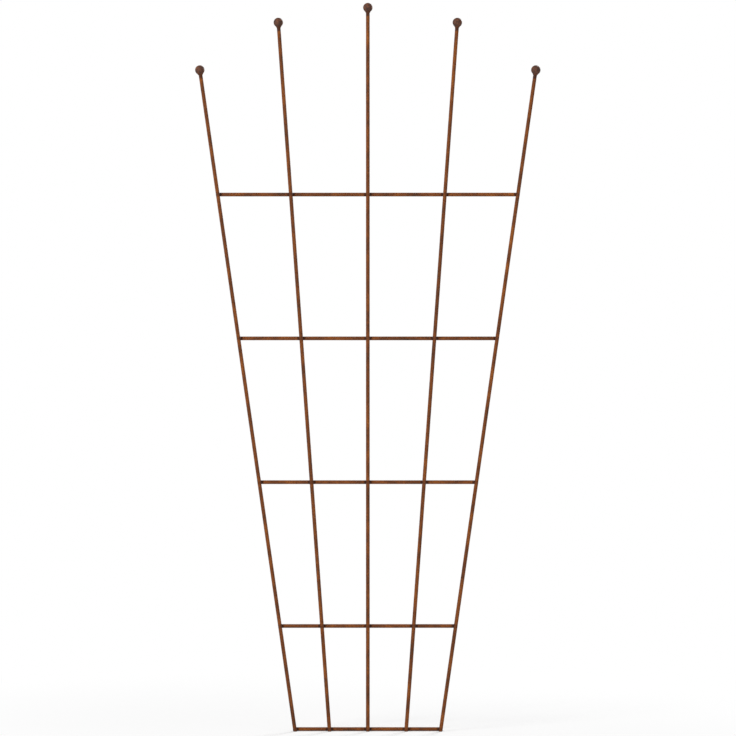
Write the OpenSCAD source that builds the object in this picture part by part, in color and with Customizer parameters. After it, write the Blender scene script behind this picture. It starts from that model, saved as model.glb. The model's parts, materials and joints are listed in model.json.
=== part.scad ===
// Espalier frame: a flat fan of welded round bar with ball finials, which holds a trained tree or climber.
// X runs along the bars to the right, +Y points back into the wall, and +Z is up.
// The origin is at the foot of the wall, behind the middle of the base: the bars' backs lie on y = 0.

/* [Bars] */
// Diameter of the round bar that all uprights and crossbars are cut from
bar_d = 8; // [6:0.5:10]
// Chamfer on the cut ends of the crossbars and the tops of the uprights
end_chamfer = 0.6; // [0.2:0.1:1]

/* [Fan] */
// Distance between the axes of the outer uprights, at the base bar
base_outer_w = 304; // [240:1:400]
// Distance between the axes of the inner uprights, at the base bar
base_inner_w = 160; // [100:1:200]
// Distance between the centres of the outer finials
top_outer_w = 700; // [560:1:900]
// Distance between the centres of the inner finials
top_inner_w = 373; // [280:1:450]

/* [Tiers] */
// Height from the base bar's axis to the first crossbar's axis
first_tier_gap = 215; // [120:1:300]
// Height from each crossbar's axis to the next one's
tier_pitch = 300; // [200:1:340]
// Number of crossbars above the base bar
tier_count = 4; // [1:1:6]

/* [Crown] */
// Height of the outer finials' middles above the top crossbar's axis
outer_rise = 259; // [60:1:400]
// How far the inner finials stand above the outer ones
inner_step = 99; // [0:1:200]
// How far the centre finial stands above the inner ones
centre_step = 31; // [0:1:100]

/* [Finials] */
// Diameter of the ball finials
ball_d = 20; // [16:0.5:24]
// Depth of the drilled socket, from the ball's lowest point
socket_depth = 8; // [5:0.5:12]
// Gap all round between an upright's top and its socket
socket_gap = 0.1; // [0.05:0.05:0.3]

/* [Welds] */
// Radius of the tack bead above or below a crossing
tack_r = 2.8; // [2.4:0.1:3.2]
// How far a tack's middle stands off the surface of both bars
tack_standoff = 1; // [0.8:0.1:1.4]
// Radius of the fillet bead round the neck of a finial
neck_bead_r = 1.6; // [1.2:0.1:2.2]
// How far that bead's middle stands off the ball and the upright
neck_standoff = 0.6; // [0.4:0.1:0.9]

/* [Hidden] */
$fn = 48;

bar_r = bar_d / 2;
ball_r = ball_d / 2;

// Extra length on bars that are trimmed and on every cut
overrun = 10;

rust_brown = "#703b24";
ball_brown = "#593b2e";
weld_brown = "#543122";

// The bars from the ground up: the base bar, then the crossbars, with the uprights lapped in front
base_z = bar_r;
bar_y = -bar_r;
upright_y = bar_y - bar_d;

function tier_z(t) = t == 0 ? base_z : base_z + first_tier_gap + (t - 1) * tier_pitch;

// The uprights from left to right: their places at the base bar and the middles of their finials
FAN = ["outer_left", "inner_left", "centre", "inner_right", "outer_right"];
last_upright = len(FAN) - 1;
outer_z = tier_z(tier_count) + outer_rise;
inner_z = outer_z + inner_step;
centre_z = inner_z + centre_step;
base_x = [-base_outer_w / 2, -base_inner_w / 2, 0, base_inner_w / 2, base_outer_w / 2];
top_x = [-top_outer_w / 2, -top_inner_w / 2, 0, top_inner_w / 2, top_outer_w / 2];
top_z = [outer_z, inner_z, centre_z, inner_z, outer_z];

function rise(i) = top_z[i] - base_z;
function run(i) = top_x[i] - base_x[i];
function lean(i) = atan2(run(i), rise(i));
function axis_length(i) = norm([run(i), rise(i)]);
function upright_x(i, z) = base_x[i] + run(i) * (z - base_z) / rise(i);

// A bar ends flush with the outer edge of the outer uprights
function half_length(t) = upright_x(last_upright, tier_z(t)) + bar_r / cos(lean(last_upright));

// A tack stands off both bars alike, so its height beside the crossbar follows from the bar's radius
tack_y = upright_y + bar_r + tack_standoff;
tack_rise = 2 * sqrt(bar_r * tack_standoff);

// The neck bead stands off the ball and the upright alike
neck_bead_x = bar_r + neck_standoff;
neck_bead_drop = sqrt(pow(ball_r + neck_standoff, 2) - pow(neck_bead_x, 2));

UPRIGHTS = [for (name = FAN) str("upright_", name)];
FINIALS = [for (name = FAN) str("finial_", name)];
FINIAL_WELDS = [for (name = FAN) str("finial_weld_", name)];
BARS = [for (t = [0 : tier_count]) t == 0 ? "base_bar" : str("crossbar_", t)];
BAR_WELDS = [for (t = [0 : tier_count]) t == 0 ? "base_welds" : str("tier_", t, "_welds")];

// A length of bar along Z, chamfered at both ends
module cut_bar(length) {
    rotate_extrude()
        polygon([
            [0, 0],
            [bar_r - end_chamfer, 0],
            [bar_r, end_chamfer],
            [bar_r, length - end_chamfer],
            [bar_r - end_chamfer, length],
            [0, length]
        ]);
}

// Puts its children on an upright's axis, with their origin at the base bar's height
module along_upright(i) {
    translate([base_x[i], upright_y, base_z])
        rotate([0, lean(i), 0])
            children();
}

// Puts its children in the middle of a finial, in line with its upright
module at_finial(i) {
    translate([top_x[i], upright_y, top_z[i]])
        rotate([0, lean(i), 0])
            children();
}

// The upright runs from its level foot to the floor of the finial's socket
module upright(i) {
    buried = base_z + overrun;
    socket_floor = axis_length(i) - ball_r + socket_depth;
    ground_w = bar_d + 2 * overrun;
    color(rust_brown)
        difference() {
            along_upright(i)
                translate([0, 0, -buried])
                    cut_bar(buried + socket_floor);
            translate([upright_x(i, 0) - ground_w / 2, upright_y - ground_w / 2, -ground_w])
                cube([ground_w, ground_w, ground_w]);
        }
}

// The base bar or a crossbar, flush with the outer uprights at both ends
module bar(t) {
    color(rust_brown)
        translate([-half_length(t), bar_y, tier_z(t)])
            rotate([0, 90, 0])
                cut_bar(2 * half_length(t));
}

// A solid ball with a blind socket drilled from below
module finial(i) {
    color(ball_brown)
        at_finial(i)
            difference() {
                sphere(r = ball_r);
                translate([0, 0, -ball_r - overrun])
                    cylinder(r = bar_r + socket_gap, h = overrun + socket_depth);
            }
}

// The fillet bead in the corner between a ball and its upright
module finial_weld(i) {
    color(weld_brown)
        at_finial(i)
            rotate_extrude()
                difference() {
                    translate([neck_bead_x, -neck_bead_drop])
                        circle(r = neck_bead_r);
                    circle(r = ball_r);
                    translate([0, -neck_bead_drop - ball_r])
                        square([bar_r, ball_d]);
                }
}

// One tack bead, fitted into the corner between an upright's back and a bar: side is 1 above, -1 below
module tack(i, t, side) {
    z = tier_z(t) + side * tack_rise;
    difference() {
        translate([upright_x(i, z), tack_y, z])
            sphere(r = tack_r);
        upright(i);
        bar(t);
    }
}

// All tacks along one bar: the base bar's underside is on the ground and has none
module bar_welds(t) {
    sides = t == 0 ? [1] : [-1, 1];
    color(weld_brown)
        for (i = [0 : last_upright], side = sides)
            tack(i, t, side);
}

for (i = [0 : last_upright]) {
    upright(i);
    finial(i);
    finial_weld(i);
}
for (t = [0 : tier_count]) {
    bar(t);
    bar_welds(t);
}
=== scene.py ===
"""The looks of the espalier frame: a fan of rusted round bar with ball finials, in a white studio."""
import json
import math

import bpy
import numpy as np
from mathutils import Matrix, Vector, noise


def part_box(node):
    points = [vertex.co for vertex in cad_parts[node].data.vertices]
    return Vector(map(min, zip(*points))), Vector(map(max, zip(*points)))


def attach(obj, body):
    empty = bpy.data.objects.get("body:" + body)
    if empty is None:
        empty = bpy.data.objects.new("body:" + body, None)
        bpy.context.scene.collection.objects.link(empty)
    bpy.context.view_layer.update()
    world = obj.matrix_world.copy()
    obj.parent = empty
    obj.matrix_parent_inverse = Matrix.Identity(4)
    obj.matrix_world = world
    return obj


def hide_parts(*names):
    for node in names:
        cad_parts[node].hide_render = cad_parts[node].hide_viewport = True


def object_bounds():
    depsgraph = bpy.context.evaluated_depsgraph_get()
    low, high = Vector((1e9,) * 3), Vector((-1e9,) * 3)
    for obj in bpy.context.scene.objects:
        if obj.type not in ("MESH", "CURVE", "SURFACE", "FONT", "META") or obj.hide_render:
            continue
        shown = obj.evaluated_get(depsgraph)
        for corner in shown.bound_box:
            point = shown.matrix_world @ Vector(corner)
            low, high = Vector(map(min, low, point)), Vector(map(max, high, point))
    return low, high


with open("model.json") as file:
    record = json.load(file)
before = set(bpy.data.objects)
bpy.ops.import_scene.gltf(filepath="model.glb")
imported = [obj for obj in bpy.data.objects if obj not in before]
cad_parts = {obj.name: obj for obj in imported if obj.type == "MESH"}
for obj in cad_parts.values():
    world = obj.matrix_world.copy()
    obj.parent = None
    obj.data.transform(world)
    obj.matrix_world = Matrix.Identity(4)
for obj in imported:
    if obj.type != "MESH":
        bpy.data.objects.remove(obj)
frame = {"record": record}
cad_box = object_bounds()

MM = 0.001
ACROSS = Vector((1, 0, 0))

# The pieces from left to right and from the ground up
FAN = ["outer_left", "inner_left", "centre", "inner_right", "outer_right"]
TIERS = ["base", "tier_1", "tier_2", "tier_3", "tier_4"]
BARS = dict(zip(TIERS, ["base_bar", "crossbar_1", "crossbar_2", "crossbar_3", "crossbar_4"]))

# Sizes and places that come from the frame
MOUNTS = {mount["name"]: mount for mount in frame["record"]["mounts"]}
BAR_R = MOUNTS["upper_clip_left"]["dims"]["r_mm"] * MM
FEET = {name: Vector(MOUNTS[f"foot_{name}"]["pos_m"]) for name in FAN}


def middle(node):
    """The middle of a node's box."""
    low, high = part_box(node)
    return (low + high) / 2


def ball_middle(name):
    """The middle of a finial's ball, measured from its top: the socket cuts its underside away."""
    low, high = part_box(f"finial_{name}")
    radius = (high.y - low.y) / 2
    spot = middle(f"finial_{name}")
    return Vector((spot.x, spot.y, high.z - radius))


BALLS = {name: ball_middle(name) for name in FAN}
BALL_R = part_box("finial_centre")[1].z - BALLS["centre"].z
BAR_MIDDLES = {tier: middle(BARS[tier]) for tier in TIERS}
SOCKET_FLOOR = BALLS["centre"].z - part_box("upright_centre")[1].z

# The clearance in a finial's socket, and the chamfer on a cut end
SOCKET_GAP = 0.1 * MM
END_CHAMFER = 0.6 * MM

# How far the fillet weld under a ball reaches out from the bar's axis and down from the ball's middle
NECK_LOW, NECK_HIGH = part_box("finial_weld_centre")
NECK_REACH = (NECK_HIGH.x - NECK_LOW.x) / 2
NECK_DROP = BALLS["centre"].z - NECK_LOW.z


def way_up(name):
    """The direction of an upright, from its foot to its ball."""
    return (BALLS[name] - FEET[name]).normalized()


def on_upright(name, height):
    """The point of an upright's axis at a height above the ground."""
    way = way_up(name)
    return FEET[name] + way * (height / way.z)


def crossing(name, tier):
    """The point where an upright's back touches a bar."""
    return on_upright(name, BAR_MIDDLES[tier].z) + Vector((0, BAR_R, 0))


def link(thing):
    """Puts an object into the scene."""
    bpy.context.scene.collection.objects.link(thing)
    return thing


# Camera: the photograph's frame, the column and rows that tie the object to it, and a distance in metres
IMAGE_SIZE = 736
CENTRE_COLUMN = 367.33
CENTRE_BALL_ROW = 7.11
BASE_BAR_ROW = 728.55
CAMERA_DISTANCE = 6.0


def add_camera():
    """Looks straight at the front, so that the centre ball and the base bar fall on their rows."""
    ball = BALLS["centre"]
    bar = BAR_MIDDLES["base"]
    image_middle = (IMAGE_SIZE - 1) / 2
    farther = 1 + (bar.y - ball.y) / CAMERA_DISTANCE
    rows_up = image_middle - CENTRE_BALL_ROW
    rows_down = BASE_BAR_ROW - image_middle
    # The width of a pixel at the ball, in metres
    pixel = (ball.z - bar.z) / (rows_up + farther * rows_down)
    data = bpy.data.cameras.new("camera")
    data.lens = data.sensor_width * CAMERA_DISTANCE / (IMAGE_SIZE * pixel)
    camera = link(bpy.data.objects.new("camera", data))
    camera.location.x = ball.x + (image_middle - CENTRE_COLUMN) * pixel
    camera.location.y = ball.y - CAMERA_DISTANCE
    camera.location.z = ball.z - rows_up * pixel
    camera.rotation_euler.x = math.pi / 2
    bpy.context.scene.camera = camera


class Wire:
    """A shader socket that Python's operators work on: each one adds a Math node."""

    def __init__(self, nodes, socket):
        self.nodes = nodes
        self.socket = socket

    def math(self, operation, *values):
        """A Math node that works on values or Wires."""
        return self.nodes.add("ShaderNodeMath", {"operation": operation}, dict(enumerate(values)))

    def __add__(self, other):
        return self.math("ADD", self, other)

    def __radd__(self, other):
        return self.math("ADD", other, self)

    def __sub__(self, other):
        return self.math("SUBTRACT", self, other)

    def __rsub__(self, other):
        return self.math("SUBTRACT", other, self)

    def __mul__(self, other):
        return self.math("MULTIPLY", self, other)

    def __rmul__(self, other):
        return self.math("MULTIPLY", other, self)


class Nodes:
    """A node tree that is built up by expressions on Wires."""

    def __init__(self, tree):
        self.tree = tree
        tree.nodes.clear()

    def add(self, kind, settings=None, sockets=None, output=0):
        """A new node's output. Its settings are set first, then its sockets get their values or links."""
        node = self.tree.nodes.new(kind)
        for key, value in (settings or {}).items():
            if key == "stops":
                self.set_stops(node.color_ramp.elements, value)
            else:
                setattr(node, key, value)
        for key, value in (sockets or {}).items():
            if isinstance(value, Wire):
                self.tree.links.new(value.socket, node.inputs[key])
            else:
                node.inputs[key].default_value = value
        return Wire(self, node.outputs[output]) if node.outputs else None

    def set_stops(self, elements, stops):
        """Gives a ramp its stops, each a place from 0 to 1 and a colour."""
        while len(elements) < len(stops):
            elements.new(1)
        for element, (place, shade) in zip(elements, stops):
            element.position = place
            element.color = shade

    def place(self, along="", draw=1):
        """The point on the surface in metres. Marks made from it can be drawn out along an axis."""
        point = self.add("ShaderNodeTexCoord", output="Object")
        squeeze = [1 / draw if letter == along else 1 for letter in "XYZ"]
        return self.add("ShaderNodeVectorMath", {"operation": "MULTIPLY"}, {0: point, 1: squeeze})

    def axis(self, vector, letter):
        """One part of a vector: its X, Y or Z."""
        return self.add("ShaderNodeSeparateXYZ", sockets={"Vector": vector}, output=letter)

    def clouds(self, size, place, detail=3, roughness=0.55):
        """Noise from 0 to 1 whose patches are about size across."""
        sockets = {"Vector": place, "Scale": 1 / size, "Detail": detail, "Roughness": roughness}
        return self.add("ShaderNodeTexNoise", sockets=sockets, output="Fac")

    def stripes(self, pitch, place, wander):
        """Uneven lines across Z from 0 to 1, a pitch apart. At a scale of 1 they are pi / 10 apart."""
        sockets = {"Vector": place, "Scale": math.pi / 10 / pitch, "Distortion": wander}
        return self.add("ShaderNodeTexWave", {"bands_direction": "Z"}, sockets, "Fac")

    def attribute(self, name):
        """A value that is marked on the points of a mesh."""
        return self.add("ShaderNodeAttribute", {"attribute_name": name}, output="Fac")

    def mask(self, value, low, high):
        """0 at low, 1 at high and smooth in between."""
        sockets = {"Value": value, "From Min": low, "From Max": high}
        return self.add("ShaderNodeMapRange", {"interpolation_type": "SMOOTHSTEP"}, sockets)

    def blend(self, share, first, second):
        """A colour that goes from first to second as share goes from 0 to 1."""
        return self.add("ShaderNodeMix", {"data_type": "RGBA"}, {0: share, 6: first, 7: second}, 2)

    def lay(self, shade, layers):
        """Lays colours over a shade. Each layer gives its place, its strength there and its colour."""
        for where, strength, tint in layers:
            shade = self.blend(where * strength, shade, tint)
        return shade

    def ramp(self, value, stops):
        """The colour at a value, between stops that run from low to high."""
        return self.add("ShaderNodeValToRGB", {"stops": stops}, {"Fac": value}, "Color")

    def bump(self, height, depth):
        """A normal that follows a height from 0 to 1, where 1 stands for depth in metres."""
        return self.add("ShaderNodeBump", sockets={"Height": height, "Distance": depth}, output="Normal")

    def surface(self, sockets):
        """Ends a material with one Principled shader."""
        shader = self.add("ShaderNodeBsdfPrincipled", sockets=sockets, output="BSDF")
        self.add("ShaderNodeOutputMaterial", sockets={"Surface": shader})


def new_material(name):
    """An empty material, and its nodes."""
    material = bpy.data.materials.new(name)
    material.use_nodes = True
    return material, Nodes(material.node_tree)


def colour(code):
    """The linear colour of a hex code, by the sRGB curve."""
    parts = [int(code[k:k + 2], 16) / 255 for k in (0, 2, 4)]
    linear = [part / 12.92 if part <= 0.04045 else ((part + 0.055) / 1.055) ** 2.4 for part in parts]
    return (*linear, 1.0)


# Colours of weathered steel
MILL_SCALE = colour("3b2a21")
RUST_DEEP = colour("59331b")
RUST_BROWN = colour("713f20")
RUST_RED = colour("884d22")
RUST_ORANGE = colour("a16029")
PIT_BROWN = colour("2a1812")
SCORCHED = colour("3a2019")
DUST = colour("88634a")
BALL_SCALE = colour("40302a")
BALL_BROWN = colour("5c3e32")
BALL_RUST = colour("7a4a30")
WELD_SLAG = colour("412a22")
WELD_RUST = colour("804826")

# Rust from the darkest scale to the brightest bloom, on patches that run from 0 to 1
BAR_RUST = [
    (0.34, MILL_SCALE),
    (0.42, RUST_DEEP),
    (0.5, RUST_BROWN),
    (0.58, RUST_RED),
    (0.68, RUST_ORANGE),
]
BALL_PATINA = [
    (0.36, BALL_SCALE),
    (0.52, BALL_BROWN),
    (0.68, BALL_RUST),
]

# Matt rust has little gloss: this is a quarter of a plain dielectric's
RUST_GLOSS = 0.12

# Sizes of the marks on a bar, from the largest to the finest, and the depth of its relief
TONE_DRIFT = 110 * MM
PIT_CLUSTER = 12 * MM
RUST_PATCH = 9 * MM
SCORCH_EDGE = 4 * MM
RUST_MOTTLE = 2.2 * MM
RUST_FLECK = 1.6 * MM
RUST_PIT = 1.2 * MM
ROLLING_MARK = 0.8 * MM
RUST_GRAIN = 0.5 * MM
SAW_MARK = 0.45 * MM
RUST_RELIEF = 0.8 * MM

# How many times longer than wide the patches and the rolling marks are
PATCH_DRAW = 3.3
ROLLING_DRAW = 33


def facing_up(nodes):
    """1 on surfaces that face the sky, and -1 on those that face the ground."""
    return nodes.axis(nodes.add("ShaderNodeNewGeometry", output="Normal"), "Z")


def pitting(nodes, place, size, cluster):
    """1 in the pits, which lie in clusters, and 0 on sound metal."""
    pits = nodes.mask(nodes.clouds(size, place), 0.6, 0.68)
    return pits * nodes.mask(nodes.clouds(cluster, place), 0.42, 0.6)


def rusted_bar(name, along):
    """Hot-rolled bar left to rust, with patches that run along it."""
    material, nodes = new_material(name)
    place = nodes.place()
    patches = nodes.clouds(RUST_PATCH, nodes.place(along, PATCH_DRAW), detail=8, roughness=0.62)
    mottle = nodes.clouds(RUST_MOTTLE, place, detail=4, roughness=0.6)
    grain = nodes.clouds(RUST_GRAIN, place, roughness=0.6)
    rolling = nodes.clouds(ROLLING_MARK, nodes.place(along, ROLLING_DRAW), detail=2)
    drift = nodes.clouds(TONE_DRIFT, place, detail=2)
    flecks = nodes.mask(nodes.clouds(RUST_FLECK, place, detail=2), 0.6, 0.7)
    pits = pitting(nodes, place, RUST_PIT, PIT_CLUSTER)
    scorch = nodes.attribute("scorch") * (0.4 + nodes.clouds(SCORCH_EDGE, place, detail=4) * 1.2)
    burnt = nodes.mask(scorch, 0.25, 0.65)
    halo = nodes.mask(scorch, 0.05, 0.25) * (1 - burnt)
    sawn = nodes.attribute("sawn")
    saw_marks = sawn * nodes.stripes(SAW_MARK, place, wander=3)
    dust = nodes.mask(facing_up(nodes), 0.35, 0.95) * nodes.mask(mottle, 0.35, 0.65)

    age = patches * 0.6 + mottle * 0.4 + (drift - 0.5) * 0.15
    bloom = nodes.mask(age, 0.45, 0.65)
    shade = nodes.lay(nodes.ramp(age, BAR_RUST), [
        (nodes.mask(grain, 0.55, 0.3), 0.45, PIT_BROWN),
        (flecks, 0.5, RUST_ORANGE),
        (pits, 0.7, PIT_BROWN),
        (halo, 0.35, RUST_RED),
        (burnt, 0.8, SCORCHED),
        (sawn, 0.5, RUST_RED),
        (saw_marks, 0.3, MILL_SCALE),
        (dust, 0.12, DUST),
    ])
    relief = bloom * 0.3 + mottle * 0.3 + grain * 0.3 + rolling * 0.1 - pits * 0.35 - saw_marks * 0.12
    nodes.surface({
        "Base Color": shade,
        "Roughness": 0.6 + bloom * 0.22 + grain * 0.12,
        "Specular IOR Level": RUST_GLOSS,
        "Normal": nodes.bump(relief, RUST_RELIEF),
    })
    return material


# Sizes of the marks on a ball, and the depth of its relief
PATINA_PATCH = 6 * MM
BALL_PIT_CLUSTER = 8 * MM
BALL_PIT = 1.3 * MM
BALL_GRAIN = 0.7 * MM
BALL_RELIEF = 0.5 * MM


def ball_patina():
    """Turned steel balls, browner and smoother than the bars, with rust coming through."""
    material, nodes = new_material("ball_patina")
    place = nodes.place()
    patches = nodes.clouds(PATINA_PATCH, place, detail=7, roughness=0.6)
    grain = nodes.clouds(BALL_GRAIN, place, roughness=0.6)
    pits = pitting(nodes, place, BALL_PIT, BALL_PIT_CLUSTER)
    dust = nodes.mask(facing_up(nodes), 0.2, 0.95) * nodes.mask(grain, 0.3, 0.7)
    shade = nodes.lay(nodes.ramp(patches, BALL_PATINA), [
        (nodes.mask(grain, 0.55, 0.3), 0.35, PIT_BROWN),
        (pits, 0.6, PIT_BROWN),
        (nodes.attribute("scorch"), 0.7, SCORCHED),
        (dust, 0.1, DUST),
    ])
    relief = patches * 0.4 + grain * 0.3 - pits * 0.35
    nodes.surface({
        "Base Color": shade,
        "Roughness": 0.45 + patches * 0.3 + grain * 0.1,
        "Specular IOR Level": RUST_GLOSS,
        "Normal": nodes.bump(relief, BALL_RELIEF),
    })
    return material


# Sizes of the marks on a weld bead, and the depth of its relief
WELD_BLOOM = 2.5 * MM
WELD_GRAIN = 0.6 * MM
WELD_RELIEF = 0.3 * MM


def weld_metal():
    """Weld beads: dark crests, with bright rust in the valleys between the ripples."""
    material, nodes = new_material("weld_metal")
    place = nodes.place()
    grain = nodes.clouds(WELD_GRAIN, place, detail=4, roughness=0.6)
    bloom = nodes.mask(nodes.clouds(WELD_BLOOM, place, detail=5), 0.45, 0.62)
    valley = nodes.attribute("valley") * nodes.mask(grain, 0.3, 0.6)
    shade = nodes.lay(WELD_SLAG, [
        (bloom, 0.6, RUST_BROWN),
        (valley, 0.8, WELD_RUST),
        (nodes.mask(grain, 0.5, 0.3), 0.5, PIT_BROWN),
    ])
    nodes.surface({
        "Base Color": shade,
        "Roughness": 0.45 + bloom * 0.25 + grain * 0.15,
        "Specular IOR Level": RUST_GLOSS,
        "Normal": nodes.bump(grain + bloom * 0.3, WELD_RELIEF),
    })
    return material


# Meshes: rings of points round an axis, joined into closed skins. The margin is a share of a map's strip
SHARP_EDGE = math.radians(40)
MAP_MARGIN = 0.03


def inset(share):
    """A share of a map strip's width or length, kept off the strip's edges."""
    return MAP_MARGIN + (1 - 2 * MAP_MARGIN) * share


def skin(name, shells, strips=1, looped=False):
    """A mesh of closed shells over rings of points, where a ring of one point closes an end.
    Its map stacks the shells, and cuts each one into strips side by side, so that long bars fill it."""
    points = []
    faces = []
    spots = []
    for number, rings in enumerate(shells):
        sides = max(len(ring) for ring in rings)
        starts = [len(points) + sum(map(len, rings[:k])) for k in range(len(rings))]
        spans = len(rings) if looped else len(rings) - 1
        rows = math.ceil(spans / strips)
        for span in range(spans):
            strip, row = divmod(span, rows)
            after = (span + 1) % len(rings)
            for side in range(sides):
                # A closing point is met by two corners and kept once, which makes a triangle
                face = {}
                for ring, up, turn in ((span, 0, 0), (span, 0, 1), (after, 1, 1), (after, 1, 0)):
                    corner = starts[ring] + (side + turn) % len(rings[ring])
                    column = strip + inset((side + turn) / sides)
                    line = number + inset((row + up) / rows)
                    face[corner] = (column / strips, line / len(shells))
                faces.append(list(face))
                spots.extend(face.values())
        points.extend(point for ring in rings for point in ring)
    mesh = bpy.data.meshes.new(name)
    mesh.from_pydata(points, [], faces)
    mesh.uv_layers.new(name="OFBake").data.foreach_set("uv", np.ravel(spots))
    mesh.shade_smooth()
    mesh.set_sharp_from_angle(angle=SHARP_EDGE)
    return link(bpy.data.objects.new(name, mesh))


def mark(piece, name, values):
    """Writes a value on each point of a piece, for its material to read."""
    piece.data.attributes.new(name, "FLOAT", "POINT").data.foreach_set("value", values)


def mark_scorch(piece, welds, reach):
    """Marks how near each point of a piece is to a weld: 1 on it, and 0 from reach away."""
    points = np.array([vertex.co for vertex in piece.data.vertices])
    gaps = np.min([np.linalg.norm(points - np.array(weld), axis=1) for weld in welds], axis=0)
    near = np.clip(1 - gaps / reach, 0, 1)
    mark(piece, "scorch", near * near * (3 - 2 * near))


def ring_offsets(way, radius, sides):
    """The points of a ring round the origin, turning round way."""
    first = Vector((0, 1, 0)).cross(way).normalized()
    second = way.cross(first)
    turns = [2 * math.pi * side / sides for side in range(sides)]
    return [radius * (math.cos(turn) * first + math.sin(turn) * second) for turn in turns]


def worn(point, dents):
    """How deep the metal is worn at a point: cloudy dents, each with its size and depth."""
    return sum(depth * (0.5 + 0.5 * noise.noise(point / size)) for size, depth in dents)


def steps(start, end, step):
    """Evenly spaced values from start to end, about a step apart."""
    count = max(2, round((end - start) / step) + 1)
    return np.linspace(start, end, count).tolist()


def dress(piece, node, material):
    """Puts a finished piece in its node's place."""
    piece.data.materials.append(material)
    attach(piece, "root")
    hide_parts(node)


# Round bar: its rings and dents, how far a weld scorches it, and how far up its foot is bent level
BAR_SIDES = 28
RING_STEP = 3 * MM
BAR_DENTS = [(30 * MM, 0.08 * MM), (7 * MM, 0.06 * MM)]
BAR_SCORCH = 15 * MM
FOOT_LEVEL = 12 * MM


def bar_ring(spot, way, radius):
    """A ring of worn bar surface round a point of its axis."""
    ring = []
    for offset in ring_offsets(way, radius, BAR_SIDES):
        ring.append(spot + offset * (1 - worn(spot + offset, BAR_DENTS) / BAR_R))
    return ring


def bar_profile(length):
    """Distances along a bar and radii there, from one chamfered end to the other."""
    cut_r = BAR_R - END_CHAMFER
    body = steps(END_CHAMFER, length - END_CHAMFER, RING_STEP)
    profile = [(0, 0), (0, cut_r / 2), (0, cut_r)]
    profile += [(distance, BAR_R) for distance in body]
    profile += [(length, cut_r), (length, cut_r / 2), (length, 0)]
    return profile


def bar_rings(start, way, length):
    """The rings of a whole bar, with a point in the middle of each end."""
    rings = []
    for distance, radius in bar_profile(length):
        spot = start + way * distance
        rings.append(bar_ring(spot, way, radius) if radius else [spot])
    return rings


def bar_strips(length):
    """How many strips a bar's map takes, for marks that are as sharp along the bar as round it."""
    return round(math.sqrt(length / (2 * math.pi * BAR_R)))


def levelled(point, foot, way):
    """Slides a point near an upright's foot along the bar, so that the foot is level with the ground."""
    beside = point - foot
    distance = beside.dot(way)
    offset = beside - way * distance
    share = max(0, 1 - distance / FOOT_LEVEL)
    return point - way * (offset.z / way.z * share)


def add_upright(name, material):
    """An upright from its level foot to the floor of its ball's socket."""
    way = way_up(name)
    foot = FEET[name]
    length = (BALLS[name] - foot).length - SOCKET_FLOOR
    rings = [[levelled(point, foot, way) for point in ring] for ring in bar_rings(foot, way, length)]
    piece = skin(f"rusted_upright_{name}", [rings], bar_strips(length))
    neck = BALLS[name] - way * NECK_DROP
    mark_scorch(piece, [neck, *(crossing(name, tier) for tier in TIERS)], BAR_SCORCH)
    dress(piece, f"upright_{name}", material)


def add_bar(tier, material):
    """The base bar or a crossbar, with sawn ends."""
    low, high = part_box(BARS[tier])
    spot = BAR_MIDDLES[tier]
    half = (high.x - low.x) / 2
    rings = bar_rings(spot - ACROSS * half, ACROSS, 2 * half)
    piece = skin(f"rusted_{BARS[tier]}", [rings], bar_strips(2 * half))
    mark_scorch(piece, [crossing(name, tier) for name in FAN], BAR_SCORCH)
    # The sawn faces lie beyond the chamfers
    cut = half - END_CHAMFER / 2
    mark(piece, "sawn", [float(abs(vertex.co.x - spot.x) > cut) for vertex in piece.data.vertices])
    dress(piece, BARS[tier], material)


# Ball finials
BALL_SIDES = 48
BALL_STEP = math.radians(5)
BALL_DENTS = [(9 * MM, 0.16 * MM), (2.6 * MM, 0.07 * MM)]
BALL_SCORCH = 8 * MM


def add_finial(name, material):
    """A ball with a blind socket: from the socket's floor down to its mouth, then over the outside."""
    way = way_up(name)
    ball = BALLS[name]
    socket_r = BAR_R + SOCKET_GAP
    mouth = math.asin(socket_r / BALL_R)
    mouth_drop = BALL_R * math.cos(mouth)
    profile = [(0, SOCKET_FLOOR), (socket_r / 2, SOCKET_FLOOR), (socket_r, SOCKET_FLOOR)]
    profile += [(socket_r, (SOCKET_FLOOR + mouth_drop) / 2)]
    outside = steps(mouth, math.pi, BALL_STEP)[:-1]
    profile += [(BALL_R * math.sin(turn), BALL_R * math.cos(turn)) for turn in outside]
    profile += [(0, -BALL_R)]
    rings = []
    for radius, drop in profile:
        spots = ring_offsets(way, radius, BALL_SIDES) if radius else [Vector()]
        ring = []
        for spot in spots:
            point = spot - way * drop
            in_socket = point.length <= mouth_drop
            depth = 0 if in_socket else worn(ball + point, BALL_DENTS)
            ring.append(ball + point * (1 - depth / BALL_R))
        rings.append(ring)
    piece = skin(f"ball_{name}", [rings])
    mark_scorch(piece, [ball - way * BALL_R], BALL_SCORCH)
    dress(piece, f"finial_{name}", material)


# Weld beads: puddles that overlap like scales, each with its crest nearer to where it starts.
# They stray from even spacing by up to a share of a puddle
PUDDLE_CREST = 0.4
PUDDLE_STRAY = 0.6
STRAY_SIZE = 4 * MM
WELD_DENTS = [(3.5 * MM, 0.25 * MM), (1.1 * MM, 0.12 * MM)]


def arch(share):
    """0 at both ends of a run from 0 to 1, and 1 in its middle."""
    return 4 * share * (1 - share)


def strayed(puddles, point):
    """The count of puddles before a point of a bead, where they are unevenly spaced."""
    return puddles + PUDDLE_STRAY * noise.noise(point / STRAY_SIZE)


def puddle_dip(puddles):
    """How far a bead dips along its run: 0 on the crest of a puddle, and 1 at its edges."""
    share = puddles % 1
    if share < PUDDLE_CREST:
        return (1 - share / PUDDLE_CREST) ** 2
    return ((share - PUDDLE_CREST) / (1 - PUDDLE_CREST)) ** 2


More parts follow.
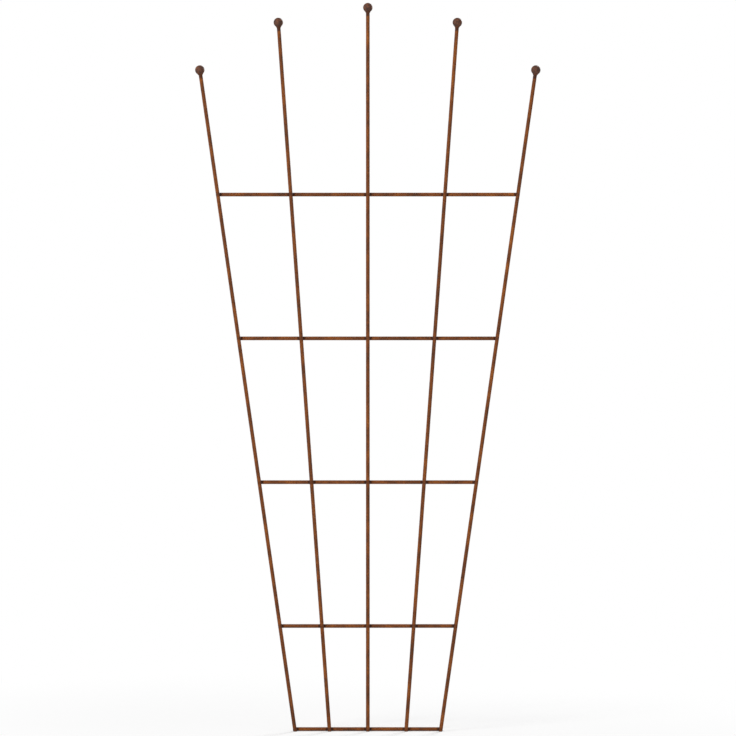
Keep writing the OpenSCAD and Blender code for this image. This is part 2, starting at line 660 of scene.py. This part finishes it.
# The fillet under a ball: its face runs from the bar up to the ball, and bites into both.
# Its puddles bow along the bead in the middle of the face, and its toes draw in between them
NECK_PUDDLES = 18
NECK_SIDES = 180
NECK_ROWS = 11
NECK_CROWN = 0.5 * MM
NECK_RIPPLE = 0.25 * MM
NECK_BITE = 0.2 * MM
NECK_TOES = 0.3 * MM
NECK_BOW = 0.8


def neck_spot(puddles, share):
    """A point of the fillet's face, as its reach and height, and how deep it lies in a valley."""
    drawn_in = NECK_TOES * puddle_dip(puddles)
    reach = NECK_REACH - NECK_BITE - drawn_in
    low = Vector((BAR_R - NECK_BITE, drawn_in - NECK_DROP))
    high = Vector((reach, -math.sqrt((BALL_R - NECK_BITE) ** 2 - reach ** 2)))
    out = Vector((high.y - low.y, low.x - high.x)).normalized()
    crown = arch(share)
    dip = puddle_dip(puddles + NECK_BOW * crown)
    spot = low.lerp(high, share) + out * crown * (NECK_CROWN - NECK_RIPPLE * dip)
    return spot, dip * crown


def add_neck_weld(name, material):
    """The fillet bead under a ball, laid in small puddles round the bar."""
    way = way_up(name)
    ball = BALLS[name]
    outwards = ring_offsets(way, 1, NECK_SIDES)
    rings = []
    valleys = []
    for share in steps(0, 1, 1 / (NECK_ROWS - 1)):
        ring = []
        for side, outward in enumerate(outwards):
            puddles = strayed(NECK_PUDDLES * side / NECK_SIDES, ball + outward * NECK_REACH)
            spot, valley = neck_spot(puddles, share)
            point = ball + outward * spot.x + way * spot.y
            ring.append(point - outward * worn(point, WELD_DENTS) * arch(share))
            valleys.append(valley)
        rings.append(ring)
    # The last ring is buried where the bar enters the ball, and closes the bead
    buried_r = BAR_R - NECK_BITE
    buried_drop = math.sqrt(BALL_R ** 2 - BAR_R ** 2)
    rings.append([ball + outward * buried_r - way * buried_drop for outward in outwards])
    valleys += [0] * NECK_SIDES
    piece = skin(f"neck_weld_{name}", [rings], looped=True)
    mark(piece, "valley", valleys)
    dress(piece, f"finial_weld_{name}", material)


# The tacks of a crossing: each fills the corner between an upright's back and a bar, and thins out there.
# Its middle line is above or below the bar's axis, a little sunk into the upright, and wraps round it
TACK_R = 3.6 * MM
TACK_HALF = 3.9 * MM
TACK_RISE = 2.9 * MM
TACK_SUNK = 0.5 * MM
TACK_WRAP = 2.5 * MM
TACK_TIP = 0.4 * MM
TACK_RINGS = 45
TACK_SIDES = 24

# A tack's puddles bow along it in the middle of its face, which leans up or down from facing the wall
TACK_PUDDLES = 6
TACK_RIPPLE = 0.38 * MM
TACK_BOW = 0.6
TACK_LEAN = math.radians(48)


def tack_spot(share, side):
    """A point of a tack's middle line, from the bar's axis: its ends bend round the upright."""
    forward = BAR_R + TACK_SUNK + TACK_WRAP * share ** 2
    return Vector((share * TACK_HALF, -forward, side * TACK_RISE))


def tack_shell(tier, name, side):
    """One tack, above the bar or below it: puddles laid along the bar, and round at both ends."""
    bar = BAR_MIDDLES[tier]
    face = Vector((0, math.cos(TACK_LEAN), side * math.sin(TACK_LEAN)))
    rings = []
    valleys = []
    for share in steps(-1, 1, 2 / (TACK_RINGS - 1)):
        spot = bar + tack_spot(share, side)
        spot.x += on_upright(name, spot.z).x - bar.x
        swell = TACK_R * math.sqrt(1 - share ** 4)
        # Each end closes in a point
        if not swell:
            rings.append([spot])
            valleys.append(0)
            continue
        puddles = strayed(TACK_PUDDLES * (share + 1) / 2, spot)
        ring = []
        for offset in ring_offsets(ACROSS, 1, TACK_SIDES):
            dip = puddle_dip(puddles + TACK_BOW * max(0, offset.dot(face)))
            depth = TACK_RIPPLE * dip + worn(spot + offset * swell, WELD_DENTS)
            ring.append(spot + offset * max(TACK_TIP, swell - depth))
            valleys.append(dip)
        rings.append(ring)
    return rings, valleys


def add_tacks(tier, material):
    """All tacks along one bar. The base bar lies on the ground, so it has them only above."""
    sides = [1] if tier == "base" else [-1, 1]
    tacks = [tack_shell(tier, name, side) for name in FAN for side in sides]
    piece = skin(f"tacks_{tier}", [rings for rings, valleys in tacks])
    mark(piece, "valley", [valley for rings, valleys in tacks for valley in valleys])
    dress(piece, f"{tier}_welds", material)


# Studio: soft lamps, each with its place, size and watts, and the light that comes from all round
LAMPS = {
    "key_lamp": ((-3.0, -2.8, 3.2), 1.4, 168),
    "fill_lamp": ((3.0, -3.0, 1.4), 2.2, 41),
    "back_lamp": ((2.0, 3.2, 3.0), 1.6, 172),
}
AMBIENT = 0.3
WHITE = (1, 1, 1, 1)

# The floor shows shadows near the frame, under a share of white, and is plain white far from it
FLOOR_SIZE = 30
FLOOR_PALE = 0.8
NEAR_WHITE = 0.4
SHADOW_NEAR = 0.35
SHADOW_FAR = 1.3


def grey(level):
    """A grey of a linear level from 0 to 1."""
    return (level, level, level, 1)


def seen_directly(nodes):
    """1 for rays from the camera, and for those that a shiny or clear surface passes on."""
    rays = [f"Is {kind} Ray" for kind in ("Camera", "Glossy", "Transmission")]
    camera, glossy, through = (nodes.add("ShaderNodeLightPath", output=ray) for ray in rays)
    return camera.math("MAXIMUM", camera.math("MAXIMUM", camera, glossy), through)


def add_floor():
    """A pale floor with the frame's soft shadow on it."""
    edge = FLOOR_SIZE / 2
    corners = [(-edge, -edge, 0), (edge, -edge, 0), (edge, edge, 0), (-edge, edge, 0)]
    mesh = bpy.data.meshes.new("floor")
    mesh.from_pydata(corners, [], [range(len(corners))])
    material, nodes = new_material("pale_floor")
    away = nodes.add("ShaderNodeVectorMath", {"operation": "LENGTH"}, {0: nodes.place()}, "Value")
    lit = nodes.add("ShaderNodeBsdfDiffuse", sockets={"Color": grey(FLOOR_PALE)}, output="BSDF")
    white = nodes.add("ShaderNodeEmission", sockets={"Color": WHITE}, output="Emission")
    fade = nodes.mask(away, SHADOW_NEAR, SHADOW_FAR)
    share = seen_directly(nodes) * (NEAR_WHITE + fade * (1 - NEAR_WHITE))
    shader = nodes.add("ShaderNodeMixShader", sockets={0: share, 1: lit, 2: white})
    nodes.add("ShaderNodeOutputMaterial", sockets={"Surface": shader})
    mesh.materials.append(material)
    link(bpy.data.objects.new("floor", mesh))


def light_world():
    """White where it is seen, and a soft grey light elsewhere."""
    world = bpy.data.worlds.new("studio")
    world.use_nodes = True
    bpy.context.scene.world = world
    nodes = Nodes(world.node_tree)
    sky = nodes.blend(seen_directly(nodes), grey(AMBIENT), WHITE)
    background = nodes.add("ShaderNodeBackground", sockets={"Color": sky})
    nodes.add("ShaderNodeOutputWorld", sockets={"Surface": background})


def add_lamp(name, spot, size, watts):
    """A square soft lamp that points at the middle of the fan."""
    data = bpy.data.lights.new(name, "AREA")
    data.size = size
    data.energy = watts
    lamp = link(bpy.data.objects.new(name, data))
    lamp.location = spot
    aim = (cad_box[0] + cad_box[1]) / 2 - Vector(spot)
    lamp.rotation_euler = aim.to_track_quat("-Z", "Y").to_euler()


def add_studio():
    """The floor, the light and the plain view of colours."""
    add_floor()
    light_world()
    for name, (spot, size, watts) in LAMPS.items():
        add_lamp(name, spot, size, watts)
    bpy.context.scene.view_settings.view_transform = "Standard"


add_camera()
upright_rust = rusted_bar("upright_rust", "Z")
crossbar_rust = rusted_bar("crossbar_rust", "X")
patina = ball_patina()
weld = weld_metal()
for upright_name in FAN:
    add_upright(upright_name, upright_rust)
    add_finial(upright_name, patina)
    add_neck_weld(upright_name, weld)
for tier_name in TIERS:
    add_bar(tier_name, crossbar_rust)
    add_tacks(tier_name, weld)
add_studio()
